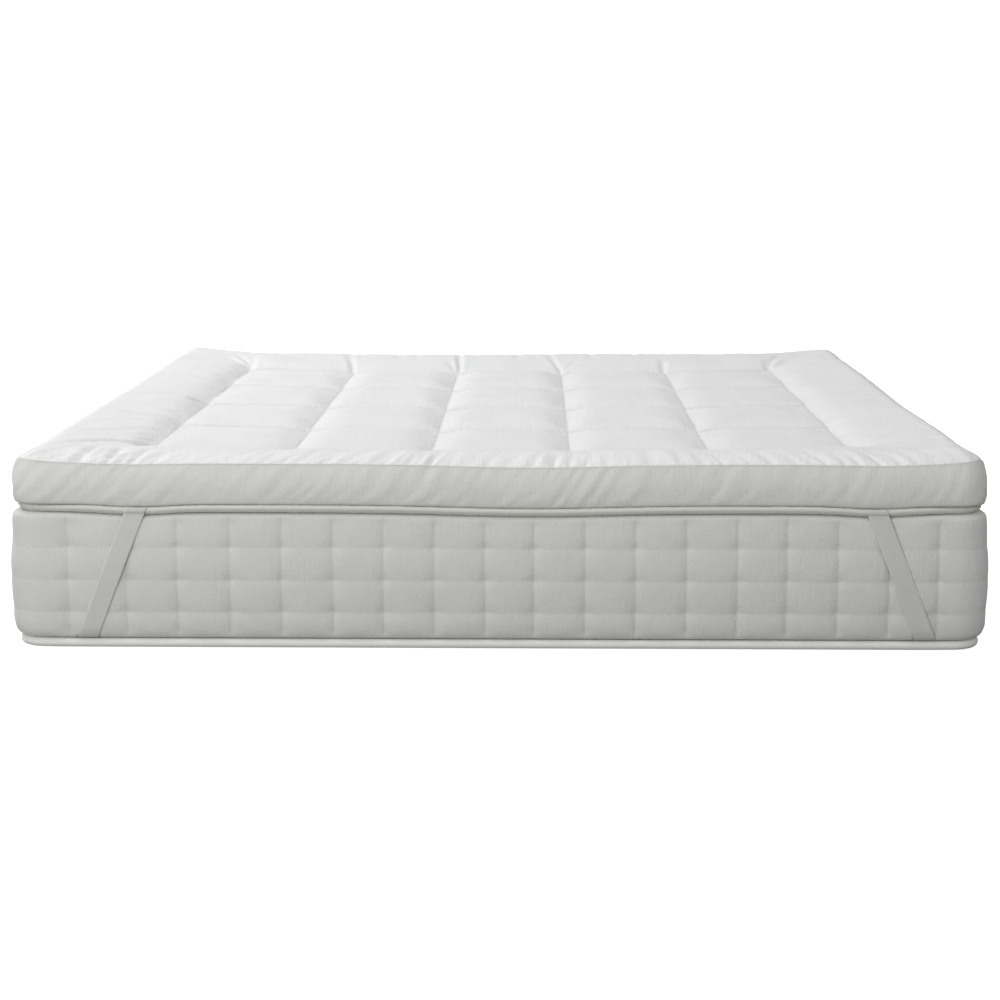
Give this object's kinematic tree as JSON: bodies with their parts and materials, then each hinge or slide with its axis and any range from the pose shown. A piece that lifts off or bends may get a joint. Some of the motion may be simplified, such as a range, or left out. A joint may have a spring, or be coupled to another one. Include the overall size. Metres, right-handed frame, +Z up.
{
  "type": "mattress topper on a mattress",
  "caption": "Quilted, filled mattress topper with a plain border and a rolled edge, held by elastic corner straps on a plain double mattress with a quilted wall and a piped lower edge",
  "frame": {"origin": "on the floor, under the middle of the mattress", "axes": "+Z up, +Y along the bed from the foot end to the head end, +X across the bed to the right as seen from the foot end"},
  "size_m": [1.8152, 2.0152, 0.3634],
  "materials": {
    "topper_cloth": "matt white downproof cotton, softly wrinkled along its seams",
    "topper_edge": "matt white cotton rolled edge",
    "elastic": "flat grey-white woven elastic with ribbed selvedges",
    "mattress_tick": "matt light grey-white knitted tick, slightly fuzzy",
    "mattress_piping": "matt light grey-white piping"
  },
  "bodies": {
    "root": {"topper_pad": "topper_cloth", "topper_piping": "topper_edge", "strap_front_left": "elastic", "strap_front_right": "elastic", "strap_back_left": "elastic", "strap_back_right": "elastic", "mattress_body": "mattress_tick", "mattress_piping": "mattress_piping"}
  },
  "joints": []
}
